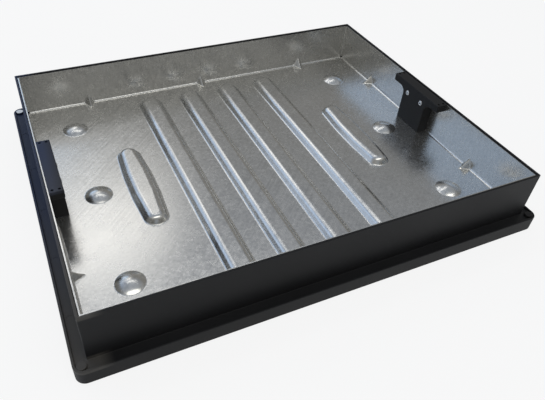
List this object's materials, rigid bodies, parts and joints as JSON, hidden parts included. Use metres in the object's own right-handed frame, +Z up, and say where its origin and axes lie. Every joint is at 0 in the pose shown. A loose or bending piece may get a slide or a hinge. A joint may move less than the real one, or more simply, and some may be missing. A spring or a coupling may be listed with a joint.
{
  "type": "recessed paving cover",
  "caption": "Rectangular recessed paving cover: a pressed, ribbed steel tray with plastic lifting blocks, resting in a lipped plastic frame.",
  "frame": {"origin": "centre of the frame's base, on the ground plane", "axes": "+X along the long side, +Y along the short side, +Z up out of the tray"},
  "size_m": [0.842, 0.686, 0.117],
  "materials": {
    "frame_plastic": "black moulded plastic, slightly glossy",
    "galvanised_steel": "galvanised sheet with faint spangle and rolling marks",
    "block_plastic": "black moulded plastic, satin",
    "rivet_metal": "bright plated"
  },
  "bodies": {
    "root": {"frame": "frame_plastic", "tray": "galvanised_steel", "lifting_block_left": "block_plastic", "lifting_block_right": "block_plastic", "left_rivet_front": "rivet_metal", "left_rivet_back": "rivet_metal", "right_rivet_front": "rivet_metal", "right_rivet_back": "rivet_metal"}
  },
  "joints": []
}
